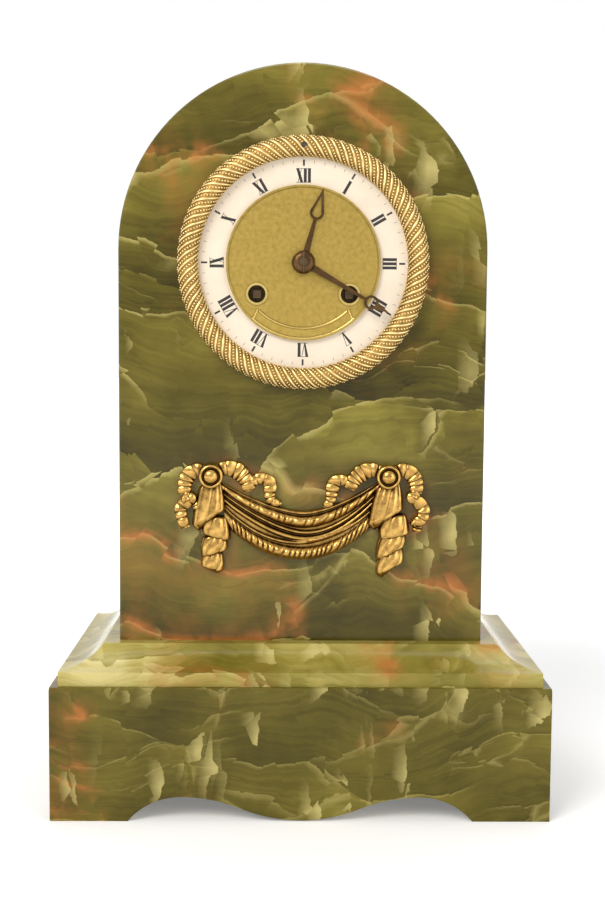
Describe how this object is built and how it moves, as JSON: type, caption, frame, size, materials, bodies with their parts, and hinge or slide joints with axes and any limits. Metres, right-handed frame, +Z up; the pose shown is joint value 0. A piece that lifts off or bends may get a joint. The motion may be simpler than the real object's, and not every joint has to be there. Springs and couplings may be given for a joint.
{
  "type": "mantel clock",
  "caption": "Round-arched green onyx mantel clock with rope bezel, enamel chapter ring, gilt drapery mount, spring-driven striking movement, pendulum, bell and hinged rear door.",
  "frame": {"origin": "centre of the plinth's footprint, on the ground plane", "axes": "+Z up, -Y out of the dial, +X to the viewer's right when facing the dial"},
  "size_m": [0.222, 0.134, 0.336],
  "materials": {
    "onyx": "polished green onyx with pale and rust veins",
    "gilt_bronze": "satin gilt bronze with darker recesses",
    "brass": "lightly tarnished clock brass",
    "bell_metal": "turned bell metal",
    "steel": "bright and grey steel",
    "dark_bronze": "dark bronzed steel",
    "enamel": "fired cream enamel"
  },
  "bodies": {
    "case": {"plinth_front": "onyx", "plinth_back": "onyx", "plinth_left_side": "onyx", "plinth_right_side": "onyx", "step_moulding": "onyx", "case_front": "onyx", "case_back": "onyx", "case_wall": "onyx", "tie_bolts": "steel", "rope_bezel": "gilt_bronze", "chapter_ring": "enamel", "dial_centre": "gilt_bronze", "winding_eyelets": "gilt_bronze", "dial_plate": "brass", "dial_feet": "brass", "front_plate": "brass", "back_plate": "brass", "plate_pillars": "brass", "ratchet_clicks": "steel", "suspension_cock": "brass", "bell": "bell_metal", "bell_stand": "steel", "bell_nut": "brass", "rear_ring": "brass", "hinge_pin": "steel", "movement_straps": "brass", "strap_screws": "steel", "drapery_swag": "gilt_bronze", "left_ribbon_bow": "gilt_bronze", "right_ribbon_bow": "gilt_bronze", "left_drapery_tail": "gilt_bronze", "right_drapery_tail": "gilt_bronze", "rosettes": "gilt_bronze", "stud_nuts": "steel"},
    "minute_set": {"minute_hand": "dark_bronze", "hand_collet": "dark_bronze", "hand_pin": "steel", "cannon_pinion": "brass"},
    "hour_set": {"hour_hand": "dark_bronze", "hour_wheel": "brass"},
    "motion_wheel": {"minute_wheel": "brass"},
    "going_barrel_body": {"going_barrel": "brass"},
    "strike_barrel_body": {"strike_barrel": "brass"},
    "going_winder": {"going_winding_arbor": "steel"},
    "strike_winder": {"strike_winding_arbor": "steel"},
    "second_body": {"second_wheel": "brass"},
    "centre_body": {"centre_wheel": "brass"},
    "third_body": {"third_wheel": "brass"},
    "escape_body": {"escape_wheel": "brass"},
    "strike_second_body": {"strike_second_wheel": "brass"},
    "pin_wheel_body": {"pin_wheel": "brass"},
    "pallet_body": {"pallet_anchor": "steel"},
    "pendulum": {"pendulum_rod": "steel", "pendulum_bob": "brass", "rating_nut": "brass"},
    "hammer_body": {"hammer": "steel"},
    "door": {"rear_door": "brass", "door_knob": "brass"}
  },
  "joints": [
    {"name": "minute_spin", "type": "hinge", "parent": "case", "child": "minute_set", "pos_m": [0, -0.039, 0.2474], "axis": [0, 1, 0], "continuous": true},
    {"name": "hour_spin", "type": "hinge", "parent": "case", "child": "hour_set", "pos_m": [0, -0.039, 0.2474], "axis": [0, 1, 0], "continuous": true},
    {"name": "motion_wheel_spin", "type": "hinge", "parent": "case", "child": "motion_wheel", "pos_m": [0, -0.032, 0.2594], "axis": [0, 1, 0], "continuous": true},
    {"name": "third_spin", "type": "hinge", "parent": "case", "child": "third_body", "pos_m": [-0.00965, -0.009, 0.25705], "axis": [0, 1, 0], "continuous": true},
    {"name": "centre_spin", "type": "hinge", "parent": "case", "child": "centre_body", "pos_m": [0, -0.009, 0.2474], "axis": [0, 1, 0], "continuous": true},
    {"name": "second_spin", "type": "hinge", "parent": "case", "child": "second_body", "pos_m": [0.01285, -0.009, 0.25296], "axis": [0, 1, 0], "continuous": true},
    {"name": "going_barrel_spin", "type": "hinge", "parent": "case", "child": "going_barrel_body", "pos_m": [0.02075, -0.015, 0.2335], "axis": [0, 1, 0], "continuous": true},
    {"name": "escape_spin", "type": "hinge", "parent": "case", "child": "escape_body", "pos_m": [0, 0.001, 0.2634], "axis": [0, 1, 0], "continuous": true},
    {"name": "strike_second_spin", "type": "hinge", "parent": "case", "child": "strike_second_body", "pos_m": [-0.0239, -0.009, 0.25426], "axis": [0, 1, 0], "continuous": true},
    {"name": "strike_barrel_spin", "type": "hinge", "parent": "case", "child": "strike_barrel_body", "pos_m": [-0.02075, -0.015, 0.2335], "axis": [0, 1, 0], "continuous": true},
    {"name": "pin_wheel_spin", "type": "hinge", "parent": "case", "child": "pin_wheel_body", "pos_m": [-0.0225, -0.004, 0.26538], "axis": [0, 1, 0], "continuous": true},
    {"name": "going_winding", "type": "hinge", "parent": "case", "child": "going_winder", "pos_m": [0.02075, -0.031, 0.2335], "axis": [0, 1, 0], "continuous": true},
    {"name": "strike_winding", "type": "hinge", "parent": "case", "child": "strike_winder", "pos_m": [-0.02075, -0.031, 0.2335], "axis": [0, 1, 0], "continuous": true},
    {"name": "pendulum_swing", "type": "hinge", "parent": "case", "child": "pendulum", "pos_m": [0, 0.018, 0.2754], "axis": [0, 1, 0], "range_deg": [-4, 4]},
    {"name": "pallet_rock", "type": "hinge", "parent": "case", "child": "pallet_body", "pos_m": [0, 0.005, 0.2754], "axis": [0, 1, 0], "range_deg": [-4, 4]},
    {"name": "hammer_lift", "type": "hinge", "parent": "case", "child": "hammer_body", "pos_m": [-0.03, 0.006, 0.2734], "axis": [0, 1, 0], "range_deg": [0, 10]},
    {"name": "rear_door_swing", "type": "hinge", "parent": "case", "child": "door", "pos_m": [-0.0506, 0.0445, 0.2474], "axis": [0, 0, 1], "range_deg": [0, 110]}
  ],
  "couplings": [
    {"joint": "hour_spin", "follows": "minute_spin", "ratio": 0.083333},
    {"joint": "motion_wheel_spin", "follows": "minute_spin", "ratio": -0.33333},
    {"joint": "centre_spin", "follows": "third_spin", "ratio": -0.083333},
    {"joint": "second_spin", "follows": "third_spin", "ratio": 0.013889},
    {"joint": "going_barrel_spin", "follows": "third_spin", "ratio": -0.0023148},
    {"joint": "escape_spin", "follows": "third_spin", "ratio": -10},
    {"joint": "strike_barrel_spin", "follows": "strike_second_spin", "ratio": -0.16667},
    {"joint": "pin_wheel_spin", "follows": "strike_second_spin", "ratio": -6},
    {"joint": "pallet_rock", "follows": "pendulum_swing", "ratio": 1}
  ]
}
